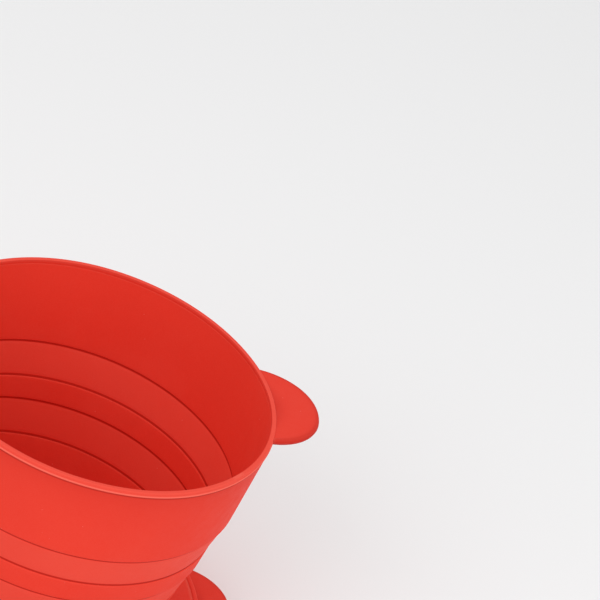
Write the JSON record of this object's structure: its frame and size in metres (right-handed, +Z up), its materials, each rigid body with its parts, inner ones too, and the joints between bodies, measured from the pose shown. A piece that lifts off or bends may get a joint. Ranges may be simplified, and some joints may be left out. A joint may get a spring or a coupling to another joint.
{
  "type": "popcorn maker",
  "caption": "Collapsible silicone popcorn maker: a round tapered folding bowl with flat tab handles, standing on its own flat vented lid.",
  "frame": {"origin": "centre line of the bowl, at the underside of the lid that it stands on", "axes": "+Z up along the bowl's centre line; the tab handles along X"},
  "size_m": [0.2602, 0.21, 0.156],
  "materials": {
    "bowl_silicone": "satin",
    "lid_silicone": "satin"
  },
  "bodies": {
    "lid": {"lid_panel": "lid_silicone", "lid_edge_bead": "lid_silicone", "lid_seat_ring": "lid_silicone", "lid_skirt": "lid_silicone", "lid_support_ring": "lid_silicone", "lid_tab_right": "lid_silicone", "lid_tab_left": "lid_silicone"},
    "base_cup": {"foot_ring": "bowl_silicone", "bowl_floor": "bowl_silicone", "fill_line_ring": "bowl_silicone", "base_wall": "bowl_silicone", "lower_fold_web": "bowl_silicone"},
    "middle_ring": {"middle_wall": "bowl_silicone", "upper_fold_web": "bowl_silicone"},
    "upper_ring": {"upper_wall": "bowl_silicone", "rim_bead": "bowl_silicone", "handle_right": "bowl_silicone", "handle_left": "bowl_silicone"}
  },
  "joints": [
    {"name": "bowl_lift", "type": "slide", "parent": "lid", "child": "base_cup", "axis": [0, 0, 1], "range_m": [0, 0.2]},
    {"name": "lower_fold", "type": "slide", "parent": "base_cup", "child": "middle_ring", "axis": [0, 0, 1], "range_m": [-0.044, 0], "deforming": ["lower_fold_web"]},
    {"name": "upper_fold", "type": "slide", "parent": "middle_ring", "child": "upper_ring", "axis": [0, 0, 1], "range_m": [-0.044, 0], "deforming": ["upper_fold_web"]}
  ]
}
